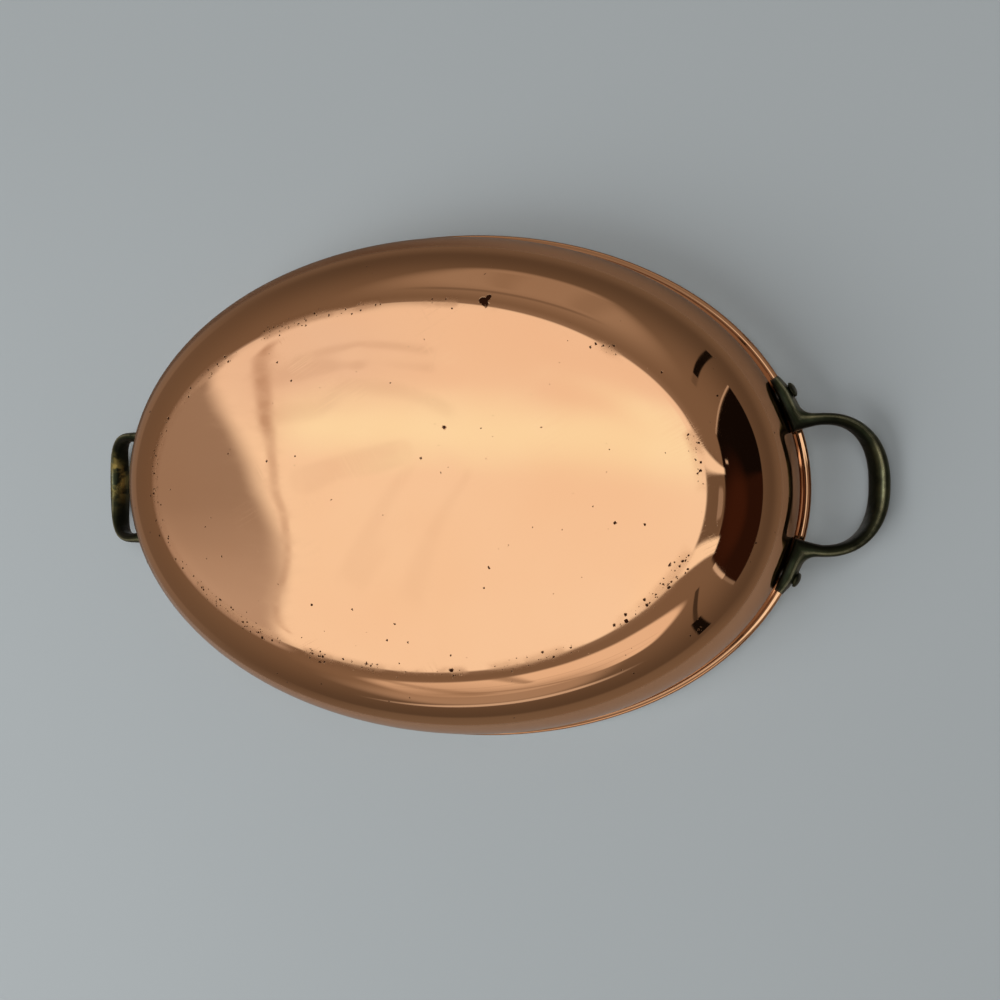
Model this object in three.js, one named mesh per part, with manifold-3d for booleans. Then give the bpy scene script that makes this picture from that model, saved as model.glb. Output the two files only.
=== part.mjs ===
// An oval copper gratin pan: a pressed copper shell, lined inside, with a cast loop handle
// riveted to each end. Millimetres, +Z up. The origin is the middle of the flat base, and
// +X runs along the oval towards the right-hand handle.

import * as THREE from 'three';
import { mergeVertices } from 'three/addons/utils/BufferGeometryUtils.js';
import Module from 'manifold-3d';

const wasm = await Module();
wasm.setup();
const radians = THREE.MathUtils.degToRad;
const { lerp, smoothstep } = THREE.MathUtils;

// The shell
const BASE_HALF_LENGTH = 116.5; // flat of the base, along X
const BASE_HALF_WIDTH = 71; // flat of the base, along Y
const RIM_HEIGHT = 40; // table to the top of the lip
const HEEL_RADIUS = 30.5; // outside curve from base to wall
const WALL_LEAN = radians(6); // the wall opens outwards by this much
const COPPER_THICKNESS = 1.7;
const LINING_THICKNESS = 0.3;
const BOND_GAP = 0.05; // between the copper and its lining
const LIP_ROOT_RADIUS = 1.5; // outside curve where the wall turns out into the lip
const LIP_LAND = 0.5; // straight part of the lip, before its round edge
const LIP_RISE = radians(10); // slope of that straight part

// The cast handles
const HANDLE_TURN = radians(-1.15); // both handles sit this far round from the oval's long axis
const SEAT_GAP = 0.3; // between an ear and the wall it is riveted to
const EAR_DROP = 10; // top of the lip down to the middle of the ears
const EAR_HEIGHT = RIM_HEIGHT - EAR_DROP; // middle of the ears above the table
const EAR_HALF_HEIGHT = 5.8;
const EAR_TIP_LENGTH = 6; // rivet to the round end of the ear
const EAR_THICKNESS = 4.6; // at the arm
const EAR_TIP_THICKNESS = 3.2;
const EAR_TIP_TURN = radians(84); // the round end stops short of a point, at a small flat
const EAR_SQUARENESS = 3.4; // of the ear's section: 2 is an ellipse, more is squarer
const RIVET_SPREAD = 32.2; // handle's middle to each rivet, across the handle and at the wall
const FOOT_SPREAD = 19; // handle's middle to the inner corner where an arm meets the wall
const ARM_SPREAD = 23.7; // handle's middle to the middle of an arm
const ARM_WIDTH = 4.3;
const ARM_HEIGHT = 6.4;
const ARM_SQUARENESS = 2.3;
const ARM_FILLET = 6.5; // hollow curve between an ear and its arm
const ARM_ROOT_DROP = 0.5; // an arm leaves its ear this far below the ear's middle
const LOOP_REACH = 26.55; // wall to the middle of the bar
const LOOP_CORNER = 18.6; // length of the loop that curves from arm to bar
const LOOP_SQUARENESS = 2.35; // of the loop's outline
const LOOP_RISE = 12.9; // the loop curls up from the wall to the middle of the bar
const LOOP_CURL = 2.3; // 1 would be a straight slope, more is flatter at the wall and steeper at the bar
const BAR_WIDTH = 5.2;
const BAR_HEIGHT = 8.6;

// The rivets
const SHANK_RADIUS = 2;
const SHANK_CLEARANCE = 0.3;
const HEAD_GAP = 0.3; // between a head and what it clamps
const OUTER_HEAD_RADIUS = 2.8;
const OUTER_HEAD_HEIGHT = 1.6;
const INNER_HEAD_RADIUS = 4.5;
const INNER_HEAD_HEIGHT = 1.6;
const INNER_HEAD_GAP = 0.55; // more than outside, because the wall is hollow under the flat head
const HEAD_RIM = 0.4; // upright edge of a head, under its dome

// Fineness of the facets
const OVAL_STEPS = 64;
const HEEL_STEPS = 8;
const LIP_STEPS = 4;
const EDGE_STEPS = 4;
const SECTION_STEPS = 16;
const EAR_TIP_STEPS = 5;
const FOOT_STEPS = 5;
const FILLET_STEPS = 8;
const ARM_STEPS = 3;
const CORNER_STEPS = 10;
const ROUND_STEPS = 16;
const DOME_STEPS = 3;
const HALVINGS = 40; // of the interval in which a place on the oval is looked for

// A point at a distance from the flat base's edge, measured square to that oval
function ovalPoint(angle, out, up) {
  const across = new THREE.Vector3(Math.cos(angle) / BASE_HALF_LENGTH, Math.sin(angle) / BASE_HALF_WIDTH, 0);
  const edge = new THREE.Vector3(BASE_HALF_LENGTH * Math.cos(angle), BASE_HALF_WIDTH * Math.sin(angle), up);
  return edge.addScaledVector(across.normalize(), out);
}

// The outward direction of the wall in plan
function ovalNormal(angle) {
  return ovalPoint(angle, 1, 0).sub(ovalPoint(angle, 0, 0));
}

// Where the lip's root curve is centred, as distances out from the base's edge and up
const sheetThickness = COPPER_THICKNESS + BOND_GAP + LINING_THICKNESS;
const lipEnd = Math.PI / 2 - LIP_RISE;
const heelTop = {
  out: HEEL_RADIUS * Math.cos(WALL_LEAN),
  up: HEEL_RADIUS * (1 - Math.sin(WALL_LEAN)),
};
const lipCentreUp =
  RIM_HEIGHT - (LIP_ROOT_RADIUS + sheetThickness) * Math.sin(lipEnd) - LIP_LAND * Math.sin(LIP_RISE);
const lipRootUp = lipCentreUp + LIP_ROOT_RADIUS * Math.sin(WALL_LEAN);
const wallOut = (up) => heelTop.out + (up - heelTop.up) * Math.tan(WALL_LEAN);
const lipCentre = {
  out: wallOut(lipRootUp) + LIP_ROOT_RADIUS * Math.cos(WALL_LEAN),
  up: lipCentreUp,
};

// A point of the lip's curve and land, at a depth inside the copper's outer skin
function lipPoint(depth, angle, land) {
  const radius = LIP_ROOT_RADIUS + depth;
  return {
    out: lipCentre.out - radius * Math.cos(angle) + land * Math.cos(LIP_RISE),
    up: lipCentre.up + radius * Math.sin(angle) + land * Math.sin(LIP_RISE),
  };
}

// The wall's section from the base's edge to the end of the lip, at a depth inside the outer skin
function sheetProfile(depth) {
  const points = [];
  for (let i = 0; i <= HEEL_STEPS; i++) {
    const turn = ((Math.PI / 2 - WALL_LEAN) * i) / HEEL_STEPS;
    const radius = HEEL_RADIUS - depth;
    points.push({ out: radius * Math.sin(turn), up: HEEL_RADIUS - radius * Math.cos(turn) });
  }
  for (let i = 0; i <= LIP_STEPS; i++) {
    points.push(lipPoint(depth, lerp(WALL_LEAN, lipEnd, i / LIP_STEPS), 0));
  }
  points.push(lipPoint(depth, lipEnd, LIP_LAND));
  return points;
}

// The lip's round edge, from its underside to its top
function edgeProfile() {
  const radius = COPPER_THICKNESS / 2;
  const centre = lipPoint(radius, lipEnd, LIP_LAND);
  const points = [];
  for (let i = 1; i < EDGE_STEPS; i++) {
    const turn = -lipEnd + (Math.PI * i) / EDGE_STEPS;
    points.push({ out: centre.out + radius * Math.cos(turn), up: centre.up + radius * Math.sin(turn) });
  }
  return points;
}

// A closed skin over a row of rings, each ring closed on itself and each end closed by a fan
function skin(rings) {
  const count = rings[0].length;
  const ends = [rings[0], rings[rings.length - 1]].map((ring) => {
    const middle = new THREE.Vector3();
    ring.forEach((point) => middle.addScaledVector(point, 1 / count));
    return middle;
  });
  const points = [...rings.flat(), ...ends];
  const first = points.length - 2;
  const last = points.length - 1;
  const faces = [];
  for (let j = 0; j < count; j++) {
    const next = (j + 1) % count;
    faces.push(first, next, j);
    for (let i = 0; i + 1 < rings.length; i++) {
      const low = i * count;
      const high = low + count;
      faces.push(low + j, low + next, high + next);
      faces.push(low + j, high + next, high + j);
    }
    const top = (rings.length - 1) * count;
    faces.push(last, top + j, top + next);
  }
  const geometry = new THREE.BufferGeometry().setFromPoints(points);
  geometry.setIndex(faces);
  return geometry;
}

// A skin swept round the oval, along a section that starts and ends over the flat base
function ovalSkin(profile) {
  return skin(profile.map(({ out, up }) => {
    const ring = [];
    for (let i = 0; i < OVAL_STEPS; i++) {
      ring.push(ovalPoint((2 * Math.PI * i) / OVAL_STEPS, out, up));
    }
    return ring;
  }));
}

// The ears, arms and bar of the right-hand handle.
// Its plan is drawn in the handle's own turned axes: along runs out through the bar, across runs
// over the loop. The two sides differ a little, because each ear follows the oval where it sits.
const handleAlong = new THREE.Vector3(Math.cos(HANDLE_TURN), Math.sin(HANDLE_TURN), 0);
const handleAcross = new THREE.Vector3(-Math.sin(HANDLE_TURN), Math.cos(HANDLE_TURN), 0);
const seatOut = wallOut(EAR_HEIGHT) + SEAT_GAP / Math.cos(WALL_LEAN);

// The angle on the oval at which a line at this distance outside the base lies this far across
function angleAcross(across, out) {
  let low = -Math.PI / 2;
  let high = Math.PI / 2;
  for (let i = 0; i < HALVINGS; i++) {
    const middle = (low + high) / 2;
    if (ovalPoint(middle, out, 0).dot(handleAcross) < across) {
      low = middle;
    } else {
      high = middle;
    }
  }
  return (low + high) / 2;
}

// A plan point in the handle's axes
function handlePoint(along, across) {
  return handleAlong.clone().multiplyScalar(along).addScaledVector(handleAcross, across);
}

const wallAlong = ovalPoint(angleAcross(0, wallOut(EAR_HEIGHT)), wallOut(EAR_HEIGHT), 0).dot(handleAlong);
const barAlong = wallAlong + LOOP_REACH;
const cornerAlong = barAlong - LOOP_CORNER;

// The loop's rise and slope at a distance along the handle: level at the wall, then ever steeper
function loopRise(along) {
  const run = Math.max(along - wallAlong, 0) / LOOP_REACH;
  return {
    rise: LOOP_RISE * run ** LOOP_CURL,
    slope: Math.atan((LOOP_RISE / LOOP_REACH) * LOOP_CURL * run ** (LOOP_CURL - 1)),
  };
}

// One ring of the casting. It spans from an inner to an outer plan point, which are the two sides
// that show from above, and stands half a height above and below them along its own upright.
function castRing({ inner, outer, middleUp, upright, halfHeight, squareness }) {
  const lift = (plan) => {
    const { rise } = loopRise(plan.dot(handleAlong));
    return plan.clone().setZ(middleUp + rise);
  };
  const from = lift(inner);
  const to = lift(outer);
  const centre = from.clone().add(to).multiplyScalar(0.5);
  const half = to.clone().sub(from).multiplyScalar(0.5);
  const ring = [];
  for (let i = 0; i < SECTION_STEPS; i++) {
    const turn = (2 * Math.PI * (i + 0.5)) / SECTION_STEPS;
    const wide = Math.sign(Math.cos(turn)) * Math.abs(Math.cos(turn)) ** (2 / squareness);
    const high = Math.sign(Math.sin(turn)) * Math.abs(Math.sin(turn)) ** (2 / squareness);
    ring.push(centre.clone().addScaledVector(half, wide).addScaledVector(upright, halfHeight * high));
  }
  return ring;
}

// The rings from one ear's tip to the middle of the bar. side is 1 for the ear across the handle's
// positive side and -1 for the other.
function halfHandle(side) {
  const seatAngle = (across, out) => angleAcross(side * across, out);
  const leanUpright = (angle) =>
    ovalNormal(angle).multiplyScalar(Math.sin(WALL_LEAN)).setZ(Math.cos(WALL_LEAN));
  const tiltUpright = (slope) =>
    handleAlong.clone().multiplyScalar(-Math.sin(slope)).setZ(Math.cos(slope));
  const rings = [];

  // The ear: a plate that follows the wall, tallest at its rivet and round at its tip
  for (let i = 0; i <= EAR_TIP_STEPS; i++) {
    const turn = EAR_TIP_TURN * (1 - i / EAR_TIP_STEPS);
    const angle = seatAngle(RIVET_SPREAD + EAR_TIP_LENGTH * Math.sin(turn), seatOut);
    const thickness = lerp(EAR_THICKNESS, EAR_TIP_THICKNESS, Math.sin(turn));
    rings.push(castRing({
      inner: ovalPoint(angle, seatOut, 0),
      outer: ovalPoint(angle, seatOut + thickness, 0),
      middleUp: EAR_HEIGHT,
      upright: leanUpright(angle),
      halfHeight: EAR_HALF_HEIGHT * Math.cos(turn),
      squareness: EAR_SQUARENESS,
    }));
  }

  // The hollow between ear and arm on the outside. On the inside the casting follows the wall to
  // its foot, and then flares back into the arm.
  const armOutside = ARM_SPREAD + ARM_WIDTH / 2;
  const armInside = ARM_SPREAD - ARM_WIDTH / 2;
  const hollowOut = seatOut + EAR_THICKNESS + ARM_FILLET;
  const hollowAngle = seatAngle(armOutside + ARM_FILLET, hollowOut);
  const hollowCentre = ovalPoint(hollowAngle, hollowOut, 0);
  const armRoot = hollowCentre.dot(handleAlong);
  const footAngle = seatAngle(FOOT_SPREAD, seatOut);
  const flare = new THREE.QuadraticBezierCurve3(
    ovalPoint(footAngle, seatOut, 0),
    handlePoint(armRoot, side * armInside),
    handlePoint(cornerAlong, side * armInside),
  );
  const toEar = ovalNormal(hollowAngle).negate();
  const sweep = toEar.angleTo(handleAcross.clone().multiplyScalar(-side));
  const flareSteps = FILLET_STEPS - FOOT_STEPS + ARM_STEPS;
  for (let i = 0; i < FILLET_STEPS + ARM_STEPS; i++) {
    const turned = Math.min(i / FILLET_STEPS, 1);
    const reached = Math.max(i / FILLET_STEPS - 1, 0) * (FILLET_STEPS / ARM_STEPS);
    const flared = Math.max((i - FOOT_STEPS) / flareSteps, 0);
    const spoke = toEar.clone().applyAxisAngle(new THREE.Vector3(0, 0, side), sweep * turned);
    const outer = hollowCentre.clone().addScaledVector(spoke, ARM_FILLET);
    const wallAngle = lerp(hollowAngle, footAngle, Math.min(i / FOOT_STEPS, 1));
    const upright = leanUpright(hollowAngle).lerp(tiltUpright(loopRise(armRoot).slope), flared);
    rings.push(castRing({
      inner: flared > 0 ? flare.getPoint(flared) : ovalPoint(wallAngle, seatOut, 0),
      outer: outer.addScaledVector(handleAlong, (cornerAlong - armRoot) * reached),
      middleUp: EAR_HEIGHT - ARM_ROOT_DROP * turned,
      upright: upright.normalize(),
      halfHeight: lerp(EAR_HALF_HEIGHT, ARM_HEIGHT / 2, smoothstep(turned, 0, 1)),
      squareness: lerp(EAR_SQUARENESS, ARM_SQUARENESS, turned),
    }));
  }

  // The loop, from the end of the arm round its corner to the middle of the bar
  for (let i = 0; i <= CORNER_STEPS; i++) {
    const turn = (Math.PI / 2) * (1 - i / CORNER_STEPS);
    const along = LOOP_CORNER * Math.cos(turn) ** (2 / LOOP_SQUARENESS);
    const across = ARM_SPREAD * Math.sin(turn) ** (2 / LOOP_SQUARENESS);
    const facing = new THREE.Vector2(
      (along / LOOP_CORNER) ** (LOOP_SQUARENESS - 1) / LOOP_CORNER,
      (across / ARM_SPREAD) ** (LOOP_SQUARENESS - 1) / ARM_SPREAD,
    ).normalize();
    const fullness = smoothstep(i / CORNER_STEPS, 0, 1);
    const halfWidth = lerp(ARM_WIDTH, BAR_WIDTH, fullness) / 2;
    const { slope } = loopRise(cornerAlong + along);
    const stepAlong = halfWidth * facing.x * Math.cos(slope);
    const stepAcross = halfWidth * facing.y;
    rings.push(castRing({
      inner: handlePoint(cornerAlong + along - stepAlong, side * (across - stepAcross)),
      outer: handlePoint(cornerAlong + along + stepAlong, side * (across + stepAcross)),
      middleUp: EAR_HEIGHT - ARM_ROOT_DROP,
      upright: tiltUpright(slope),
      halfHeight: lerp(ARM_HEIGHT, BAR_HEIGHT, fullness) / 2,
      squareness: ARM_SQUARENESS,
    }));
  }
  return rings;
}

// One rivet, and the hole it passes through, turned about the line square to the wall at its ear
const outerSeat = SEAT_GAP + EAR_THICKNESS + HEAD_GAP;
const innerSeat = -(sheetThickness + INNER_HEAD_GAP);

function dome(radius, height, seat, facing) {
  const points = [];
  for (let i = 0; i <= DOME_STEPS; i++) {
    const turn = (Math.PI / 2) * (i / DOME_STEPS);
    const bulge = HEAD_RIM + (height - HEAD_RIM) * Math.sin(turn);
    points.push(new THREE.Vector2(i < DOME_STEPS ? radius * Math.cos(turn) : 0, seat + facing * bulge));
  }
  return points;
}

function rivetGeometry() {
  const profile = [
    ...dome(INNER_HEAD_RADIUS, INNER_HEAD_HEIGHT, innerSeat, -1).reverse(),
    new THREE.Vector2(INNER_HEAD_RADIUS, innerSeat),
    new THREE.Vector2(SHANK_RADIUS, innerSeat),
    new THREE.Vector2(SHANK_RADIUS, outerSeat),
    new THREE.Vector2(OUTER_HEAD_RADIUS, outerSeat),
    ...dome(OUTER_HEAD_RADIUS, OUTER_HEAD_HEIGHT, outerSeat, 1),
  ];
  return new THREE.LatheGeometry(profile, ROUND_STEPS);
}

function rivetPlace(side) {
  const angle = angleAcross(side * RIVET_SPREAD, seatOut);
  const axis = ovalNormal(angle).multiplyScalar(Math.cos(WALL_LEAN)).setZ(-Math.sin(WALL_LEAN));
  const turn = new THREE.Quaternion().setFromUnitVectors(new THREE.Vector3(0, 1, 0), axis);
  return { position: ovalPoint(angle, wallOut(EAR_HEIGHT), EAR_HEIGHT), turn };
}

function rivetHole(side) {
  const depth = 2 * (outerSeat - innerSeat);
  const hole = new THREE.CylinderGeometry(
    SHANK_RADIUS + SHANK_CLEARANCE, SHANK_RADIUS + SHANK_CLEARANCE, depth, ROUND_STEPS);
  const { position, turn } = rivetPlace(side);
  return hole.applyQuaternion(turn).translate(position.x, position.y, position.z);
}

// Joins and cuts
function toSolid(geometry) {
  const bare = geometry.clone();
  bare.deleteAttribute('normal');
  bare.deleteAttribute('uv');
  const merged = mergeVertices(bare);
  const triangles = [];
  const index = merged.index.array;
  for (let i = 0; i < index.length; i += 3) {
    const [a, b, c] = index.slice(i, i + 3);
    if (a !== b && b !== c && c !== a) {
      triangles.push(a, b, c);
    }
  }
  return new wasm.Manifold(new wasm.Mesh({
    numProp: 3,
    vertProperties: new Float32Array(merged.attributes.position.array),
    triVerts: new Uint32Array(triangles),
  }));
}

function toGeometry(solid) {
  const { vertProperties, triVerts } = solid.getMesh();
  const geometry = new THREE.BufferGeometry();
  geometry.setAttribute('position', new THREE.BufferAttribute(vertProperties, 3));
  geometry.setIndex(new THREE.BufferAttribute(triVerts, 1));
  geometry.computeVertexNormals();
  return geometry;
}

function cut(geometry, holes) {
  let solid = toSolid(geometry);
  for (const hole of holes) {
    solid = solid.subtract(toSolid(hole));
  }
  return solid;
}

// Finishes
const metal = (color, roughness) => new THREE.MeshStandardMaterial({ color, roughness, metalness: 1 });
const copper = () => metal(0xd99572, 0.12);
const tin = () => metal(0xc9c8c4, 0.35);
const castBrass = () => metal(0x4a4a32, 0.45);
const rivetBrass = () => metal(0x6a6450, 0.4);

// The whole pan
const pan = new THREE.Group();

function addPiece(parent, name, solid, material) {
  const piece = new THREE.Mesh(toGeometry(solid), material);
  piece.name = name;
  parent.add(piece);
  return piece;
}

const SIDES = { back: 1, front: -1 };
const rightHoles = Object.values(SIDES).map(rivetHole);
const holes = [...rightHoles, ...rightHoles.map((hole) => hole.clone().rotateZ(Math.PI))];
const innerSkin = COPPER_THICKNESS + BOND_GAP;

const shell = ovalSkin([...sheetProfile(0), ...edgeProfile(), ...sheetProfile(COPPER_THICKNESS).reverse()]);
addPiece(pan, 'copper_body', cut(shell, holes), copper());
const lining = ovalSkin([...sheetProfile(innerSkin), ...sheetProfile(sheetThickness).reverse()]);
addPiece(pan, 'tin_lining', cut(lining, holes), tin());

// Each end of the pan is the same group of pieces, turned half round for the left
const casting = skin([...halfHandle(1), ...halfHandle(-1).slice(0, -1).reverse()]);
for (const [end, turn] of [['right', 0], ['left', Math.PI]]) {
  const group = new THREE.Group();
  group.rotation.z = turn;
  addPiece(group, `handle_${end}`, cut(casting, rightHoles), castBrass());
  for (const [place, side] of Object.entries(SIDES)) {
    const rivet = addPiece(group, `rivet_${end}_${place}`, toSolid(rivetGeometry()), rivetBrass());
    const seat = rivetPlace(side);
    rivet.position.copy(seat.position);
    rivet.quaternion.copy(seat.turn);
  }
  pan.add(group);
}

export default pan;
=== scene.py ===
# %% [markdown]
# # An oval copper gratin pan, seen from underneath
#
# This lesson dresses a measured model of a small French-style baking dish: a pressed copper shell
# with a thin tin lining, two cast loop handles and four rivets. The measured model gives every
# place and size. Blender adds what a camera would notice: smoother curves, soft cast edges, polish,
# wear, patina and light.
#
# The pan is photographed upside down, so the camera looks up at its base from below. Everything is
# in metres, the flat base lies on z = 0, and +x runs along the oval to the right-hand handle.

# %% Load the measured frame
import math
from functools import reduce

import bpy
import numpy as np
from mathutils import Matrix, Vector


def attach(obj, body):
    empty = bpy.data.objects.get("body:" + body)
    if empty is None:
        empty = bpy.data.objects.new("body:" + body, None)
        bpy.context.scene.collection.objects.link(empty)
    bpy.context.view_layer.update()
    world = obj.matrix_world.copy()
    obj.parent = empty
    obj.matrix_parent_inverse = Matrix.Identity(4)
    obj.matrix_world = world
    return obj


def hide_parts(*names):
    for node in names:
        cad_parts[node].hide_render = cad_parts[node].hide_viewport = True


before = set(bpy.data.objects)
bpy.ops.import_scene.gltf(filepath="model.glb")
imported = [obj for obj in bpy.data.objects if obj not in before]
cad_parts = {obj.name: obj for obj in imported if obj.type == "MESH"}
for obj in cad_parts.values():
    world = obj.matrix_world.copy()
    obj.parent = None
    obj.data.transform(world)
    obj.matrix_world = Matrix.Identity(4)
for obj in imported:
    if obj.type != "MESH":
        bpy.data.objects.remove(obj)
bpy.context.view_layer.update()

print("pieces in the frame:", ", ".join(sorted(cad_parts)))

# %% [markdown]
# ## The camera
#
# The photograph was matched by arithmetic: the outline of the rim and the ring of wear
# round the base fix where the lens was. We write down where it stands, where it looks and which
# way is up in the picture. A camera in Blender looks along its own -z, so the three directions
# become the columns of its matrix, with the look reversed. A 36 mm lens on a 36 mm wide sensor
# sees 53 degrees across the picture.

# %% Place the camera under the pan
LENS_PLACE = Vector((0.17654, -0.006905, -0.34599))
LENS_LOOK = Vector((-0.36161562, 0.0293841, 0.93186411))
PICTURE_UP = Vector((-0.02164489, -0.99949842, 0.02311735))

camera_data = bpy.data.cameras.new("camera")
camera_data.sensor_width = 36
camera_data.lens = 36
camera = bpy.data.objects.new("camera", camera_data)
bpy.context.scene.collection.objects.link(camera)
picture_right = LENS_LOOK.cross(PICTURE_UP)
turn = Matrix((picture_right, PICTURE_UP, -LENS_LOOK)).transposed()
camera.matrix_world = Matrix.Translation(LENS_PLACE) @ turn.to_4x4()
bpy.context.scene.camera = camera
bpy.context.scene.view_settings.view_transform = "Standard"
print("camera is", round(1000 * LENS_PLACE.length), "mm from the middle of the base")

# %% [markdown]
# ## A few helpers for node trees
#
# Materials, the world and Geometry Nodes are all node trees, and a few small functions keep the
# rest of the lesson readable. The first adds a node and connects or sets its inputs. A socket knows
# which tree it is in, so all the others find the tree from the sockets that they are given. They do
# sums, turn a value into a smooth step from 0 to 1, and mix colours.

# %% Node helpers
def is_socket(value):
    return isinstance(value, bpy.types.NodeSocket)


def add_node(tree, kind, inputs=None, **settings):
    """Adds a node. A socket given for an input is linked to it, and anything else is its value."""
    node = tree.nodes.new(kind)
    for name, value in settings.items():
        setattr(node, name, value)
    for key, value in (inputs or {}).items():
        if is_socket(value):
            tree.links.new(value, node.inputs[key])
        else:
            node.inputs[key].default_value = value
    return node


def feed(kind, inputs, **settings):
    """Adds a node to the tree that its inputs come from. Returns its outputs."""
    tree = next(value.id_data for value in inputs.values() if is_socket(value))
    return add_node(tree, kind, inputs, **settings).outputs


def sums(operation, *values, clamp=False):
    """One Math node. Returns its result."""
    return feed("ShaderNodeMath", dict(enumerate(values)), operation=operation, use_clamp=clamp)[0]


def plus(first, second, clamp=False):
    return sums("ADD", first, second, clamp=clamp)


def minus(first, second):
    return sums("SUBTRACT", first, second)


def times(first, second, clamp=False):
    return sums("MULTIPLY", first, second, clamp=clamp)


def vectors(operation, *values):
    """One Vector Math node. Returns its result, which is a number for a distance."""
    outputs = feed("ShaderNodeVectorMath", dict(enumerate(values)), operation=operation)
    return outputs["Value" if operation == "DISTANCE" else "Vector"]


def rise(value, low, high):
    """A smooth step: 0 where the value is below low, 1 above high. Swap them for a fall."""
    inputs = {"Value": value, "From Min": low, "From Max": high}
    return feed("ShaderNodeMapRange", inputs, interpolation_type="SMOOTHSTEP")[0]


def mix_colours(factor, first, second):
    """Mixes two colours. Each is a socket, or the three parts of its linear light."""
    first, second = (tone if is_socket(tone) else (*tone, 1.0) for tone in (first, second))
    # A Mix node has its colours at inputs 6 and 7, and the mixed colour at output 2
    return feed("ShaderNodeMix", {0: factor, 6: first, 7: second}, data_type="RGBA")[2]


def shade(tone, mask, strength, new_tone):
    """Lays a shade over what is there."""
    return mix_colours(times(mask, strength), tone, new_tone)


print("helpers ready")

# %% [markdown]
# ## The sizes
#
# These are the sizes of the measured model, in millimetres. A gratin dish is drawn like most
# pressed ware: a flat oval base, one large heel curve into the wall, and a small lip rolled
# outwards. Every point of the wall is found by going a distance *out* from the edge of the flat
# base, square to that oval, and a distance *up*.
#
# Only the lip differs from the measured model, which lets it rise by 10 degrees. In the photograph
# the lip mirrors the lamp as a thin bright line, and a mirror as narrow as this has to lie at the
# right angle for that: it turns 2 degrees down. Its edge stays inside the measured one.

# %% Sizes of the shell
MM = 0.001
BASE_HALF_LENGTH = 116.5
BASE_HALF_WIDTH = 71
RIM_HEIGHT = 40
HEEL_RADIUS = 30.5
WALL_LEAN = math.radians(6)
COPPER_THICKNESS = 1.7
LINING_THICKNESS = 0.3
BOND_GAP = 0.05
LIP_ROOT_RADIUS = 0.7
LIP_LAND = 0.72
LIP_RISE = math.radians(-2)

sheet_thickness = COPPER_THICKNESS + BOND_GAP + LINING_THICKNESS
lip_end = math.pi / 2 - LIP_RISE
heel_top = (HEEL_RADIUS * math.cos(WALL_LEAN), HEEL_RADIUS * (1 - math.sin(WALL_LEAN)))
lip_drop = (LIP_ROOT_RADIUS + sheet_thickness) * math.sin(lip_end)
lip_centre_up = RIM_HEIGHT - lip_drop - LIP_LAND * max(math.sin(LIP_RISE), 0)


def wall_out(up):
    """How far the outside of the wall stands out from the base's edge, at a height."""
    return heel_top[0] + (up - heel_top[1]) * math.tan(WALL_LEAN)


wall_end_out = wall_out(lip_centre_up + LIP_ROOT_RADIUS * math.sin(WALL_LEAN))
lip_centre = (wall_end_out + LIP_ROOT_RADIUS * math.cos(WALL_LEAN), lip_centre_up)
print("the wall ends", round(wall_out(RIM_HEIGHT), 1), "mm outside the base's edge")

# %% [markdown]
# ## The section of the sheet
#
# A pressed sheet has the same section all the way round, so we draw that section once, as a row of
# points, and let Geometry Nodes carry it round the oval. Each point has three numbers: its share of
# the way from the middle of the base to the edge, then its distance out and its height.
# We give the heel and the lip many more points than the measured model has, because polished metal
# shows every facet in its reflections.

# %% Draw the sections
HEEL_POINTS = 30
WALL_POINTS = 6
LIP_POINTS = 10
EDGE_POINTS = 8
BASE_RINGS = 14


def lip_point(depth, angle, land=0.0):
    """A point of the lip, at a depth inside the copper's outer skin."""
    radius = LIP_ROOT_RADIUS + depth
    return (
        lip_centre[0] - radius * math.cos(angle) + land * math.cos(LIP_RISE),
        lip_centre[1] + radius * math.sin(angle) + land * math.sin(LIP_RISE),
    )


def sheet_section(depth):
    """The sheet from the middle of the base to the end of the lip, as (share, out, up) points."""
    points = [(i / BASE_RINGS, 0, depth) for i in range(BASE_RINGS)]
    radius = HEEL_RADIUS - depth
    for i in range(HEEL_POINTS + 1):
        angle = (math.pi / 2 - WALL_LEAN) * i / HEEL_POINTS
        points.append((1, radius * math.sin(angle), HEEL_RADIUS - radius * math.cos(angle)))
    wall_start = points[-1]
    wall_end = lip_point(depth, WALL_LEAN)
    for i in range(1, WALL_POINTS):
        share = i / WALL_POINTS
        points.append((1, *(a + share * (b - a) for a, b in zip(wall_start[1:], wall_end))))
    for i in range(LIP_POINTS + 1):
        points.append((1, *lip_point(depth, WALL_LEAN + (lip_end - WALL_LEAN) * i / LIP_POINTS)))
    points.append((1, *lip_point(depth, lip_end, LIP_LAND)))
    return points


def round_edge():
    """The round edge of the copper, from the lip's underside to its top."""
    radius = COPPER_THICKNESS / 2
    middle = lip_point(radius, lip_end, LIP_LAND)
    points = []
    for i in range(1, EDGE_POINTS):
        turn = -lip_end + math.pi * i / EDGE_POINTS
        points.append((1, middle[0] + radius * math.cos(turn), middle[1] + radius * math.sin(turn)))
    return points


copper_section = sheet_section(0) + round_edge() + sheet_section(COPPER_THICKNESS)[::-1]
lining_section = sheet_section(COPPER_THICKNESS + BOND_GAP) + sheet_section(sheet_thickness)[::-1]
print("points in the copper's section:", len(copper_section))
print("points in the lining's section:", len(lining_section))

# %% [markdown]
# ## Carrying a section round the oval
#
# The tree starts with a plain grid. Going across the grid walks round the oval, and going up the
# grid walks along the section. Each grid point looks up its section point, works out where the
# base's edge is at its angle and which way is square to it, and moves there. Merging the points
# that land on each other closes the seam and the middle of the base.

# %% Build the sweep tree
MERGE_DISTANCE = 0.000002
STEPS_ROUND = 256


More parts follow.
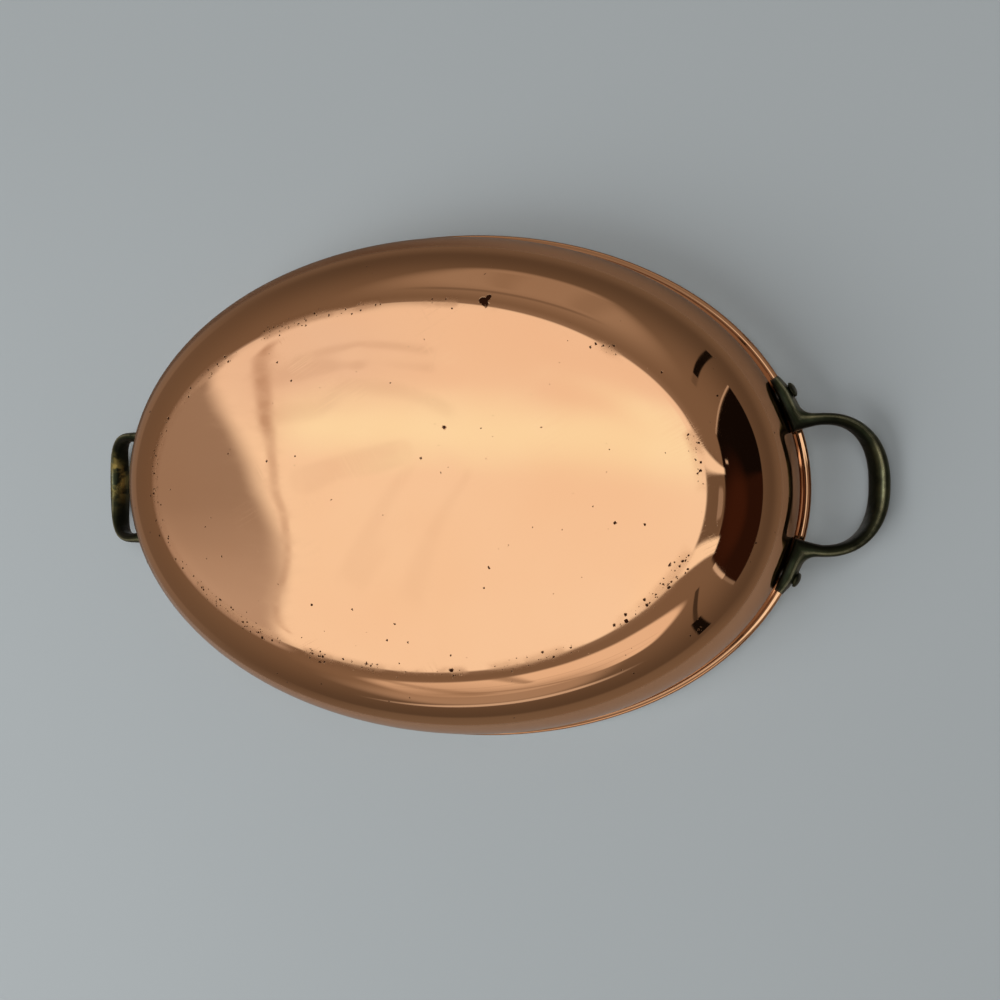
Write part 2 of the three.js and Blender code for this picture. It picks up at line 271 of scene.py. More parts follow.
def new_tree(name, sockets):
    """A Geometry Nodes tree with named inputs and one geometry output."""
    tree = bpy.data.node_groups.new(name, "GeometryNodeTree")
    for socket_name, socket_type in sockets:
        tree.interface.new_socket(socket_name, in_out="INPUT", socket_type=socket_type)
    tree.interface.new_socket("Geometry", in_out="OUTPUT", socket_type="NodeSocketGeometry")
    return tree, tree.nodes.new("NodeGroupInput").outputs, tree.nodes.new("NodeGroupOutput")


def end_tree(shape, finish, result):
    """Makes copies real, gives them their finish and hands them on as the tree's result."""
    real = feed("GeometryNodeRealizeInstances", {"Geometry": shape})[0]
    finished = feed("GeometryNodeSetMaterial", {"Geometry": real, "Material": finish})[0]
    result.id_data.links.new(finished, result.inputs[0])


sweep, given, result = new_tree("carry_section_round_oval", [
    ("Section", "NodeSocketObject"),
    ("Section points", "NodeSocketInt"),
    ("Steps round", "NodeSocketInt"),
    ("Half length", "NodeSocketFloat"),
    ("Half width", "NodeSocketFloat"),
    ("Finish", "NodeSocketMaterial"),
])
steps_across = plus(given["Steps round"], 1)
grid = feed("GeometryNodeMeshGrid", {
    "Size X": 1.0, "Size Y": 1.0, "Vertices X": steps_across, "Vertices Y": given["Section points"],
})["Mesh"]
position = add_node(sweep, "GeometryNodeInputPosition").outputs[0]
grid_x, grid_y, _ = feed("ShaderNodeSeparateXYZ", {0: position})
last_point = minus(given["Section points"], 1)
section_row = sums("ROUND", times(plus(grid_y, 0.5), last_point))
angle = times(plus(grid_x, 0.5), 2 * math.pi)

section_shape = feed("GeometryNodeObjectInfo", {"Object": given["Section"]})["Geometry"]
section_point = feed("GeometryNodeSampleIndex", {
    "Geometry": section_shape, "Value": position, "Index": section_row,
}, data_type="FLOAT_VECTOR", domain="POINT")[0]
share, out, up = feed("ShaderNodeSeparateXYZ", {0: section_point})

cosine, sine = sums("COSINE", angle), sums("SINE", angle)
half_length, half_width = given["Half length"], given["Half width"]
edge = feed("ShaderNodeCombineXYZ", {
    "X": times(half_length, cosine), "Y": times(half_width, sine)})[0]
square_to_edge = vectors("NORMALIZE", feed("ShaderNodeCombineXYZ", {
    "X": sums("DIVIDE", cosine, half_length), "Y": sums("DIVIDE", sine, half_width)})[0])
inside = feed("ShaderNodeVectorMath", {0: edge, "Scale": share}, operation="SCALE")[0]
outside = feed("ShaderNodeVectorMath", {0: square_to_edge, "Scale": out}, operation="SCALE")[0]
height = feed("ShaderNodeCombineXYZ", {"Z": up})[0]
place = vectors("ADD", vectors("ADD", inside, outside), height)

moved = feed("GeometryNodeSetPosition", {"Geometry": grid, "Position": place})[0]
closed = feed("GeometryNodeMergeByDistance", {"Geometry": moved, "Distance": MERGE_DISTANCE})[0]
end_tree(feed("GeometryNodeSetShadeSmooth", {"Geometry": closed})[0], given["Finish"], result)
print("nodes in the sweep:", len(sweep.nodes))

# %% [markdown]
# ## Running a tree and keeping its result
#
# A modifier's inputs are set by the identifier of each socket, before the object is evaluated.
# The evaluated result is copied into a plain mesh and the modifier is dropped, so nothing live is
# left. Last, the faces are turned outwards: we work out the volume, and if it comes out negative,
# the mesh is inside out.

# %% Helpers that turn a tree into a mesh
def new_object(name, points, faces=()):
    """An object with a mesh of its own, from points in metres."""
    mesh = bpy.data.meshes.new(name)
    mesh.from_pydata([tuple(p) for p in points], [], [tuple(f) for f in faces])
    mesh.update()
    made = bpy.data.objects.new(name, mesh)
    bpy.context.scene.collection.objects.link(made)
    return made


def volume_of(mesh):
    """The volume that a closed mesh holds, negative where it is inside out."""
    mesh.calc_loop_triangles()
    points = np.array([v.co for v in mesh.vertices])
    corners = points[np.array([t.vertices[:] for t in mesh.loop_triangles])]
    return float((corners[:, 0] * np.cross(corners[:, 1], corners[:, 2])).sum() / 6)


def run_tree(holder, tree, values):
    """Evaluates a tree on an object's own points, and leaves the object with the plain result."""
    modifier = holder.modifiers.new("nodes", "NODES")
    modifier.node_group = tree
    for socket in tree.interface.items_tree:
        if socket.name in values:
            modifier[socket.identifier] = values[socket.name]
    depsgraph = bpy.context.evaluated_depsgraph_get()
    mesh = bpy.data.meshes.new_from_object(holder.evaluated_get(depsgraph))
    holder.modifiers.remove(modifier)
    if volume_of(mesh) < 0:
        mesh.flip_normals()
    holder.data = mesh
    return holder


def sweep_section(name, section, finish, half_sizes=(BASE_HALF_LENGTH, BASE_HALF_WIDTH),
                  steps=STEPS_ROUND):
    """Carries one section round an oval. The row of section points is thrown away afterwards."""
    row = new_object(name + "_section", [(share, out * MM, up * MM) for share, out, up in section])
    made = run_tree(new_object(name, []), sweep, {
        "Section": row, "Section points": len(section), "Steps round": steps,
        "Half length": half_sizes[0] * MM, "Half width": half_sizes[1] * MM, "Finish": finish,
    })
    bpy.data.objects.remove(row)
    return made


print("ready to sweep")

# %% [markdown]
# ## A mirror finish that has been used
#
# Polished copper is a metal with almost no roughness, so nearly all that we see on it is the room.
# What tells us that it is old is small: a ring of fine pits where the edge of the base has rubbed
# on stoves, brown specks, soft clouds of tarnish, hairline scratches, and long shallow ripples
# that bend the reflections. All of it is written as sums on the Object coordinates, in metres, so
# it stays put from every side.
#
# The first thing that the finish needs is the distance from the ring of wear. For an oval that is
# close to (f - 1) * f / g, where f is 1 on the oval and g tells how steeply f grows.

# %% Start a finish
WEAR_HALF_LENGTH = 117.0
WEAR_HALF_WIDTH = 71.5


def new_finish(name, **constants):
    """A material with a Principled shader. Constants are set on the shader's own sockets."""
    material = bpy.data.materials.new(name)
    material.use_nodes = True
    shader = material.node_tree.nodes["Principled BSDF"]
    for key, value in constants.items():
        shader.inputs[key.replace("_", " ")].default_value = value
    return material, material.node_tree, shader


def object_place(tree):
    """Where a point is on the object, in metres, with its three parts."""
    place = add_node(tree, "ShaderNodeTexCoord").outputs["Object"]
    return place, *feed("ShaderNodeSeparateXYZ", {0: place})


def clouds(place, scale, detail=3.0, rough=0.5, stretch=(1, 1, 1), seed=0.0):
    """Soft noise from 0 to 1. Scale is in patterns per metre."""
    stretched = feed("ShaderNodeMapping", {
        "Vector": place, "Scale": stretch, "Location": (seed, 0.7 * seed, 0)})[0]
    return feed("ShaderNodeTexNoise", {
        "Vector": stretched, "Scale": scale, "Detail": detail, "Roughness": rough})[0]


def square(value):
    return times(value, value)


def complete(shader, tint, roughness, height):
    """Links a colour, a roughness and a height in metres, which bends the way the surface faces."""
    bump = feed("ShaderNodeBump", {"Height": height, "Distance": 1.0, "Strength": 1.0})[0]
    for name, value in (("Base Color", tint), ("Roughness", roughness), ("Normal", bump)):
        shader.id_data.links.new(value, shader.inputs[name])


def distance_from_oval(x, y, half_length, half_width):
    """Distance outside an oval round the middle, in metres, and negative inside it."""
    a, b = half_length * MM, half_width * MM
    full = plus(square(sums("DIVIDE", x, a)), square(sums("DIVIDE", y, b)))
    f = sums("SQRT", full)
    steep = plus(square(sums("DIVIDE", x, a * a)), square(sums("DIVIDE", y, b * b)))
    g = sums("MAXIMUM", sums("SQRT", steep), 0.001)
    return sums("DIVIDE", times(minus(f, 1), f), g)


print("the ring of wear is", 2 * WEAR_HALF_LENGTH, "by", 2 * WEAR_HALF_WIDTH, "mm")

# %% Helpers for marks
def specks(place, scale, density, size):
    """Round specks, one or none in each cell, most of them small. Density is the share of cells."""
    cells = feed("ShaderNodeTexVoronoi", {"Vector": place, "Scale": scale})
    chance, size_chance, _ = feed("ShaderNodeSeparateColor", {0: cells["Color"]})
    chosen = sums("LESS_THAN", chance, density)
    largeness = sums("POWER", size_chance, 3.0)
    radius = times(plus(largeness, 0.30), size)
    inner = times(radius, 0.45)
    return times(chosen, rise(cells["Distance"], radius, inner))


def distance_from_line(x, y, start, end):
    """Distance in plan from a straight line between two points, with the points in mm."""
    way = Vector(end) - Vector(start)
    length, way = way.length * MM, way.normalized()
    from_x = minus(x, start[0] * MM)
    from_y = minus(y, start[1] * MM)
    walked = plus(times(from_x, way.x), times(from_y, way.y))
    aside = minus(times(from_x, way.y), times(from_y, way.x))
    past = minus(sums("ABSOLUTE", minus(walked, length / 2)), length / 2)
    past = sums("MAXIMUM", past, 0.0)
    return sums("SQRT", plus(square(aside), square(past)))


def bell(distance, width):
    """1 on a line and falling softly to 0 over a width."""
    share = sums("DIVIDE", distance, width)
    return sums("EXPONENT", times(square(share), -1.0))


def spot(place, ragged, centre, radius):
    """One round mark on the base, with its centre and radius in mm, and noise for its edge."""
    away = vectors("DISTANCE", place, (centre[0] * MM, centre[1] * MM, 0.0))
    away = sums("MULTIPLY_ADD", minus(ragged, 0.5), 2.2 * radius * MM, away)
    return rise(away, radius * MM, 0.75 * radius * MM)


print("marks ready")

# %% The copper's colours
RAGGEDNESS = 0.0009
BRIGHT_COPPER = (0.93, 0.55, 0.325)
TARNISHED_COPPER = (0.91, 0.515, 0.295)
WORN_COPPER = (0.58, 0.28, 0.14)
SPECK_BROWN = (0.060, 0.020, 0.010)
# The largest specks on the base, each with its place and its radius in mm
BASE_SPOTS = (((34.9, -69.6), 1.9), ((36.6, -71.2), 1.2), ((86.2, 11.2), 0.55), ((97.1, 11.3), 0.6),
              ((-38.2, 47.9), 0.6), ((-4.3, 59.6), 0.45), ((106, 33), 0.8), ((91, 46), 0.9))

copper, tree, shader = new_finish("polished_copper", Metallic=1.0)
place, x, y, z = object_place(tree)
ring = distance_from_oval(x, y, WEAR_HALF_LENGTH, WEAR_HALF_WIDTH)
under = rise(z, 0.012, 0.004)
near_ring = times(under, rise(sums("ABSOLUTE", ring), 0.0035, 0.0004))
patchy = rise(clouds(place, 42, detail=3, seed=3.1), 0.43, 0.58)
left_end = rise(sums("MULTIPLY_ADD", y, 0.35, times(x, -1)), 0.055, 0.085)
worn = times(near_ring, sums("MAXIMUM", patchy, times(left_end, 0.55)))
stained = times(under, rise(clouds(place, 40, detail=3, seed=12.4), 0.60, 0.72))

tiny_density = sums("MULTIPLY_ADD", worn, 0.42, sums("MULTIPLY_ADD", stained, 0.05, 0.003))
ragged = feed("ShaderNodeTexNoise", {"Vector": place, "Scale": 1500.0, "Detail": 1.0})["Color"]
ragged = vectors("SUBTRACT", ragged, (0.5, 0.5, 0.5))
pushed = vectors("MULTIPLY_ADD", ragged, (RAGGEDNESS,) * 3, place)
tiny_specks = specks(pushed, 1050, tiny_density, 0.62)
small_specks = specks(pushed, 520, sums("MULTIPLY_ADD", worn, 0.20, 0.0008), 0.50)
speck = sums("MAXIMUM", tiny_specks, small_specks)
rough_edge = clouds(place, 420, detail=1)
for centre, radius in BASE_SPOTS:
    speck = sums("MAXIMUM", speck, spot(pushed, rough_edge, centre, radius))

tarnish = rise(clouds(place, 11, detail=3, seed=7.7), 0.35, 0.75)
tint = mix_colours(tarnish, BRIGHT_COPPER, TARNISHED_COPPER)
tint = shade(tint, worn, 0.30, WORN_COPPER)
tint = mix_colours(speck, tint, SPECK_BROWN)

smears = clouds(place, 60, detail=3, rough=0.6, stretch=(1, 3, 1), seed=1.3)
roughness = times(rise(smears, 0.3, 0.8), 0.035)
roughness = plus(plus(roughness, 0.020), times(worn, 0.14))
roughness = plus(roughness, times(speck, 0.45), clamp=True)
print("nodes in the copper so far:", len(tree.nodes))

# %% [markdown]
# ### Hollows, ripples, scratches and pits
#
# A bump map changes only the way that the surface faces, and on a mirror that is enough: a hollow
# of a few hundredths of a millimetre bends a reflection like a fold in cloth. The base of this pan
# has a few long shallow hollows and a small round dent. They are added to soft ripples, hairline
# scratches and the pits under the specks. The heights are in metres, so the bump's own distance
# stays at 1.

# %% The copper's relief
RIPPLE_HEIGHT = 0.00030
HAIRLINE_DEPTH = 0.0000016
SPECK_DEPTH = 0.00004
DENT_PLACE = (0.0323, 0.0471, 0.0)
DENT_RADIUS, DENT_SOFTNESS, DENT_DEPTH = 0.0016, 0.0008, 0.000014


def scratches(place, angle, scale, width, seed):
    """Thin straight lines in one direction, each only here and there."""
    turned = feed("ShaderNodeMapping", {
        "Vector": place, "Rotation": (0, 0, angle), "Location": (seed, seed, 0)})[0]
    lines = clouds(turned, scale, detail=1, rough=0.4, stretch=(1, 60, 1))
    line = rise(sums("ABSOLUTE", minus(lines, 0.5)), width, 0.0)
    here = rise(clouds(turned, 35, detail=1, seed=seed), 0.60, 0.72)
    return times(line, here)


def hollows(x, y, under, lines):
    """The depth of long hollows. Each is a start and an end, a width and a depth, all in mm."""
    depths = (times(bell(distance_from_line(x, y, start, end), width * MM), deep * MM)
              for start, end, width, deep in lines)
    return times(reduce(plus, depths), under)


waves = minus(clouds(place, 22, detail=1, seed=18.0), 0.5)
wavy_y = sums("MULTIPLY_ADD", waves, 0.010, y)
long_hollows = hollows(x, wavy_y, under, (
    ((-44, -47), (-18, -51), 4.0, 0.020), ((-18, -51), (22, -46), 4.5, 0.020),
    ((-44, -2), (1, -14), 5.0, 0.020), ((20, -6), (-22, 40), 7.0, 0.030),
    ((60, -40), (100, -22), 5.0, 0.024)))
from_dent = minus(vectors("DISTANCE", place, DENT_PLACE), DENT_RADIUS)
dent = times(bell(from_dent, DENT_SOFTNESS), DENT_DEPTH)
long_scratches = hollows(x, y, under, (
    ((6.6, -63.3), (23.6, -31.4), 0.12, 0.003), ((23.6, -31.4), (31.2, -12.6), 0.12, 0.003),
    ((18.3, -61.7), (13.1, -44.1), 0.12, 0.003), ((4.1, -14.4), (-2.5, 16.6), 0.10, 0.0015),
    ((26.1, 8.9), (27.8, 13.4), 0.12, 0.003)))

ripples = clouds(place, 13, detail=1.5, rough=0.35, stretch=(1, 1.6, 1), seed=5.2)
ripples = times(ripples, RIPPLE_HEIGHT)
hairlines = sums("MAXIMUM", scratches(place, 0.5, 9, 0.010, 2.0),
                 scratches(place, -1.0, 7, 0.008, 4.0))
relief = reduce(minus, (ripples, times(hairlines, HAIRLINE_DEPTH), times(speck, SPECK_DEPTH),
                        long_hollows, dent, long_scratches))
complete(shader, tint, roughness, relief)
print("nodes in the copper:", len(tree.nodes))

# %% [markdown]
# ## The lining
#
# The inside of a copper dish for food is covered with a bright, slightly grey metal, here tin. It
# is wiped on hot, so it is satin and not a mirror, with soft streaks along the pan, and use dulls
# it in soft clouds.

# %% The tin finish
FRESH_TIN = (0.72, 0.71, 0.68)
DULL_TIN = (0.58, 0.57, 0.54)
STREAKED_TIN = (0.80, 0.79, 0.76)
WIPED_HEIGHT = 0.00005
GRAIN_HEIGHT = 0.000003

tin, tree, shader = new_finish("wiped_tin", Metallic=1.0)
place = object_place(tree)[0]
wiped = clouds(place, 70, detail=4, rough=0.6, stretch=(0.25, 2.2, 1), seed=2.4)
dull = rise(clouds(place, 18, detail=3, seed=9.1), 0.3, 0.75)
tint = mix_colours(dull, FRESH_TIN, DULL_TIN)
tint = shade(tint, rise(wiped, 0.5, 0.8), 0.4, STREAKED_TIN)
roughness = plus(plus(times(wiped, 0.16), times(dull, 0.10)), 0.14)
grain = clouds(place, 900, detail=2, stretch=(0.12, 1, 1), seed=6.0)
relief = plus(times(wiped, WIPED_HEIGHT), times(grain, GRAIN_HEIGHT))
complete(shader, tint, roughness, relief)
print("nodes in the tin:", len(tree.nodes))

# %% [markdown]
# ## The pressed shell and its lining
#
# Both are one sweep of their section. They stand for the measured nodes copper_body and
# tin_lining, which are coarser. The shell is closed: it has an outside, a round edge and an inside.

# %% Sweep the shell and the lining
shell = sweep_section("copper_shell", copper_section, copper)
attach(shell, "root")
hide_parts("copper_body")

lining = sweep_section("tin_inside", lining_section, tin)
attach(lining, "root")
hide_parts("tin_lining")
for piece in (shell, lining):
    volume = round(volume_of(piece.data) / MM ** 3)
    print(piece.name, len(piece.data.polygons), "faces,", volume, "cubic mm")

# %% [markdown]
# ## The cast handles: where they touch the wall
#
# Each handle is one casting: two ears that hug the wall, two arms, and a thick bar that curls up.
# Because the ears follow the oval, both sides of a handle differ a little. We work in the
# handle's own axes: *along* runs out through the bar, and *across* runs over the loop.

# %% Sizes of the handles
HANDLE_TURN = math.radians(-1.15)
SEAT_GAP = 0.3
EAR_HEIGHT = 30
EAR_HALF_HEIGHT = 5.8
EAR_TIP_LENGTH = 6
EAR_THICKNESS = 4.6
EAR_TIP_THICKNESS = 3.2
EAR_TIP_TURN = math.radians(84)
EAR_SQUARENESS = 3.4
RIVET_SPREAD = 32.2
FOOT_SPREAD = 19
ARM_SPREAD = 23.7
ARM_WIDTH = 4.3
ARM_HEIGHT = 6.4
ARM_SQUARENESS = 2.3
ARM_FILLET = 6.5
ARM_ROOT_DROP = 0.5
LOOP_REACH = 26.5
LOOP_CORNER = 18.6
LOOP_SQUARENESS = 2.35
HANDLE_RISE = 12.9
HANDLE_CURL = 2.3
BAR_WIDTH = 5.2
BAR_HEIGHT = 8.6

UPWARDS = np.array([0.0, 0.0, 1.0])
along_axis = np.array([math.cos(HANDLE_TURN), math.sin(HANDLE_TURN), 0.0])
across_axis = np.array([-math.sin(HANDLE_TURN), math.cos(HANDLE_TURN), 0.0])
seat_out = wall_out(EAR_HEIGHT) + SEAT_GAP / math.cos(WALL_LEAN)


def wall_facing(angle):
    """The direction in plan that is square to the oval."""
    facing = np.array([math.cos(angle) / BASE_HALF_LENGTH, math.sin(angle) / BASE_HALF_WIDTH, 0.0])
    return facing / np.linalg.norm(facing)


def oval_point(angle, out):
    edge = np.array([BASE_HALF_LENGTH * math.cos(angle), BASE_HALF_WIDTH * math.sin(angle), 0.0])
    return edge + out * wall_facing(angle)


def angle_across(across, out):
    """The angle on the oval at which it lies this far across the handle."""
    tries = np.linspace(-1.5, 1.5, 3001)
    return float(np.interp(across, [oval_point(t, out) @ across_axis for t in tries], tries))


wall_along = oval_point(angle_across(0, wall_out(EAR_HEIGHT)), wall_out(EAR_HEIGHT)) @ along_axis
corner_along = wall_along + LOOP_REACH - LOOP_CORNER
print("the bar's middle is", round(wall_along + LOOP_REACH, 1), "mm from the middle of the pan")

# %% [markdown]
# ## The cast handles: lofting through rings
#
# A casting has no sharp sections, so each handle is lofted: a row of rings is placed from one
# ear's tip, along the arm and round the loop to the middle of the bar, and skinned. A ring is a
# squarish ellipse between an inner and an outer point of the plan. It is squarer at the ear, which
# is a plate, and rounder at the bar, which the hand holds.

# %% One ring of the casting
RING_POINTS = 40


def loop_rise(along):
    """How far the loop has curled up at a distance along the handle, and how steep it is there."""
    run = max(along - wall_along, 0) / LOOP_REACH
    steep = HANDLE_RISE / LOOP_REACH * HANDLE_CURL * run ** (HANDLE_CURL - 1)
    return HANDLE_RISE * run ** HANDLE_CURL, math.atan(steep)


def signed_power(value, power):
    return math.copysign(abs(value) ** power, value)


def cast_ring(inner, outer, middle_up, upright, half_height, squareness):
    """One ring, from two points in plan, the height of its middle and its own upright."""
    inner, outer = (plan + UPWARDS * (middle_up + loop_rise(plan @ along_axis)[0])
                    for plan in (inner, outer))
    centre, half = (inner + outer) / 2, (outer - inner) / 2
    ring = []
    for i in range(RING_POINTS):
        turn = 2 * math.pi * (i + 0.5) / RING_POINTS
        wide = signed_power(math.cos(turn), 2 / squareness)
        high = signed_power(math.sin(turn), 2 / squareness)
        ring.append(centre + half * wide + upright * half_height * high)
    return np.array(ring)


def plan_point(along, across):
    return along_axis * along + across_axis * across


def lean_upright(angle):
    """Up along the leaning wall."""
    return wall_facing(angle) * math.sin(WALL_LEAN) + UPWARDS * math.cos(WALL_LEAN)


def tilt_upright(slope):
    """Up, square to the rising loop."""
    return UPWARDS * math.cos(slope) - along_axis * math.sin(slope)


def ease(share):
    """Goes from 0 to 1 with a soft start and end."""
    share = min(max(share, 0), 1)
    return share * share * (3 - 2 * share)


def between(low, high, share):
    return low + (high - low) * share


print("points in each ring:", RING_POINTS)

# %% The ear
EAR_TIP_STEPS = 14


def ear_rings(side):
    """A plate that follows the wall, tallest at its rivet and round at its tip."""
    rings = []
    for i in range(EAR_TIP_STEPS + 1):
        turn = EAR_TIP_TURN * (1 - i / EAR_TIP_STEPS)
        angle = angle_across(side * (RIVET_SPREAD + EAR_TIP_LENGTH * math.sin(turn)), seat_out)
        thickness = between(EAR_THICKNESS, EAR_TIP_THICKNESS, math.sin(turn))
        rings.append(cast_ring(
            oval_point(angle, seat_out), oval_point(angle, seat_out + thickness), EAR_HEIGHT,
            lean_upright(angle), EAR_HALF_HEIGHT * math.cos(turn), EAR_SQUARENESS))
    return rings


print("rings in an ear:", len(ear_rings(1)))

# %% The hollow between ear and arm
FILLET_STEPS = 24
FOOT_SHARE = 5 / 8
ARM_SHARE = 3 / 8
ARM_STEPS = 9


def turned_about_up(vector, angle):
    return np.array(Matrix.Rotation(angle, 3, "Z") @ Vector(vector))


def root_rings(side):
    """Outside, a hollow curve. Inside, the casting follows the wall to its foot and flares back."""
    hollow_out = seat_out + EAR_THICKNESS + ARM_FILLET
    hollow_angle = angle_across(side * (ARM_SPREAD + ARM_WIDTH / 2 + ARM_FILLET), hollow_out)
    hollow_centre = oval_point(hollow_angle, hollow_out)
    arm_root = hollow_centre @ along_axis
    foot_angle = angle_across(side * FOOT_SPREAD, seat_out)
    inside = side * (ARM_SPREAD - ARM_WIDTH / 2)
    foot = oval_point(foot_angle, seat_out)
    corner, end = plan_point(arm_root, inside), plan_point(corner_along, inside)
    to_ear = -wall_facing(hollow_angle)
    sweep_turn = math.acos(to_ear @ (across_axis * -side))
    flare_span = 1 - FOOT_SHARE + ARM_SHARE
    rings = []
    for i in range(1, FILLET_STEPS + ARM_STEPS):
        turned = min(i / FILLET_STEPS, 1)
        reached = max(i - FILLET_STEPS, 0) / ARM_STEPS
        walked = turned + reached * ARM_SHARE
        flared = max((walked - FOOT_SHARE) / flare_span, 0)
        outer = hollow_centre + ARM_FILLET * turned_about_up(to_ear, side * sweep_turn * turned)
        wall_angle = between(hollow_angle, foot_angle, min(turned / FOOT_SHARE, 1))
        inner = oval_point(wall_angle, seat_out)
        if flared > 0:
            inner = between(between(foot, corner, flared), between(corner, end, flared), flared)
        upright = between(lean_upright(hollow_angle), tilt_upright(loop_rise(arm_root)[1]), flared)
        rings.append(cast_ring(
            inner, outer + along_axis * (corner_along - arm_root) * reached,
            EAR_HEIGHT - ARM_ROOT_DROP * turned, upright / np.linalg.norm(upright),
            between(EAR_HALF_HEIGHT, ARM_HEIGHT / 2, ease(turned)),
            between(EAR_SQUARENESS, ARM_SQUARENESS, turned)))
    return rings


print("rings from ear to loop:", len(root_rings(1)))

# %% The loop
CORNER_STEPS = 34


def loop_rings(side):
    """From the end of the arm, round the corner, to the middle of the bar."""
    rings = []
    for i in range(CORNER_STEPS + 1):
        turn = math.pi / 2 * (1 - i / CORNER_STEPS)
        along = LOOP_CORNER * abs(math.cos(turn)) ** (2 / LOOP_SQUARENESS)
        across = ARM_SPREAD * abs(math.sin(turn)) ** (2 / LOOP_SQUARENESS)
        facing = np.array([
            (along / LOOP_CORNER) ** (LOOP_SQUARENESS - 1) / LOOP_CORNER,
            (across / ARM_SPREAD) ** (LOOP_SQUARENESS - 1) / ARM_SPREAD])
        facing /= np.linalg.norm(facing)
        fullness = ease(i / CORNER_STEPS)
        half_width = between(ARM_WIDTH, BAR_WIDTH, fullness) / 2
        slope = loop_rise(corner_along + along)[1]
        step_along, step_across = half_width * facing[0] * math.cos(slope), half_width * facing[1]
        rings.append(cast_ring(
            plan_point(corner_along + along - step_along, side * (across - step_across)),
            plan_point(corner_along + along + step_along, side * (across + step_across)),
            EAR_HEIGHT - ARM_ROOT_DROP, tilt_upright(slope),
            between(ARM_HEIGHT, BAR_HEIGHT, fullness) / 2, ARM_SQUARENESS))
    return rings


print("rings in half a loop:", len(loop_rings(1)))

# %% [markdown]
# ### From rings to a mesh
#
# The second half runs from the middle of the bar back to the other ear, so its rings are taken in
# the opposite order. Neighbouring rings are joined by four-sided faces and each end by a fan. The
# left-hand handle is the same casting turned half round.
#
# Each point also remembers where it sits on its ring: how near the crest of the lower face, where
# the casting is rubbed and a highlight is painted, and how far on the inner side, where a shade is
# painted. The finish reads both.

# %% Skin the rings
CREST_PLACE = 0.40
CREST_WIDTH = 0.14
INNER_SHADE_SPAN = 0.35
# The crest carries rubbed metal and a painted highlight, and the inner side carries a painted shade
WEAR_AND_SHADE_NAMES = ("crown", "hollow")


def wear_and_shade_of(ring):
    """How near the crest, and how far on the inner side, each point of a ring is, from 0 to 1."""
    outward = (ring[0] - ring[len(ring) // 2]) * np.array([1, 1, 0])
    offset = (ring - ring.mean(axis=0)) @ outward
    offset /= offset.max()
    below = np.roll(offset, -1) > np.roll(offset, 1)
    # Crest: rubbed metal plus a painted highlight. Inner side, facing the pan: a painted shade
    crown = np.exp(-((offset - CREST_PLACE) / CREST_WIDTH) ** 2) * below
    return crown, np.clip(-offset / INNER_SHADE_SPAN, 0, 1)


def skin(name, rings):
    """A closed mesh over a row of rings."""
    count = len(rings[0])
    points = [p * MM for ring in rings for p in ring]
    ends = [np.mean(rings[0], axis=0) * MM, np.mean(rings[-1], axis=0) * MM]
    faces = []
    for i in range(len(rings) - 1):
        for j in range(count):
            k = (j + 1) % count
            faces.append((i * count + j, i * count + k, (i + 1) * count + k, (i + 1) * count + j))
    first, last, top = len(points), len(points) + 1, (len(rings) - 1) * count
    for j in range(count):
        k = (j + 1) % count
        faces.append((first, k, j))
        faces.append((last, top + j, top + k))
    made = new_object(name, points + ends, faces)
    if volume_of(made.data) < 0:
        made.data.flip_normals()
    made.data.shade_smooth()
    wear = np.array([wear_and_shade_of(ring) for ring in rings]).transpose(1, 0, 2)
    for wear_and_shade_name, values in zip(WEAR_AND_SHADE_NAMES, wear):
        values = np.concatenate([values.ravel(), [0, 0]]).astype(np.float32)
        made.data.attributes.new(wear_and_shade_name, "FLOAT", "POINT").data.foreach_set("value", values)
    return made


halves = {side: ear_rings(side) + root_rings(side) + loop_rings(side) for side in (1, -1)}
casting_rings = halves[1] + halves[-1][-2::-1]
print("rings in a whole handle:", len(casting_rings))

# %% [markdown]
# ## The handle's patina
#
# The handles are cast brass left to darken: a painted shade makes them almost black on the inner
# side, which faces the pan, and they are a dull green on the open faces. The shoulder is paler,
# partly where cloths and shelves rub it and partly as a painted highlight, and there is one bare
# yellow place where the left one is held. Sand casting leaves a fine, slightly lumpy skin.

# %% The cast finish
DARK_BRASS = (0.020, 0.022, 0.012)
BROWN_BRASS = (0.060, 0.060, 0.028)
GREEN_BRASS = (0.036, 0.056, 0.028)
# Paler brass on the crest: rubbed metal and a painted highlight
RUBBED_AND_LIT_BRASS = (0.42, 0.42, 0.25)
# Nearly black brass on the inner side, facing the pan: a painted shade
INNER_SHADE_BRASS = (0.007, 0.008, 0.004)
BARE_BRASS = (0.46, 0.36, 0.11)
LUMP_HEIGHT = 0.00018
SAND_HEIGHT = 0.00002

cast_brass, tree, shader = new_finish("dark_cast_brass", Metallic=0.8)
place, x, y, _ = object_place(tree)
crown, hollow = (add_node(tree, "ShaderNodeAttribute", attribute_name=wear_and_shade_name).outputs["Fac"]
                 for wear_and_shade_name in WEAR_AND_SHADE_NAMES)
blotches = clouds(place, 130, detail=4, rough=0.6, seed=4.4)
green = rise(clouds(place, 70, detail=3, seed=8.3), 0.35, 0.62)
tint = mix_colours(rise(blotches, 0.35, 0.65), DARK_BRASS, BROWN_BRASS)
tint = shade(tint, green, 0.5, GREEN_BRASS)
# Paler on the crest: partly rubbing, partly a painted highlight
shoulder = times(crown, rise(blotches, 0.25, 0.55))
tint = shade(tint, shoulder, 0.95, RUBBED_AND_LIT_BRASS)
# Painted shade on the inner side, where the loop faces the pan
tint = shade(tint, hollow, 0.9, INNER_SHADE_BRASS)

held = times(rise(x, -0.168, -0.173), bell(plus(y, 0.004), 0.011))
bare = times(held, rise(clouds(place, 190, detail=4, seed=2.2), 0.42, 0.60))
tint = shade(tint, bare, 0.85, BARE_BRASS)

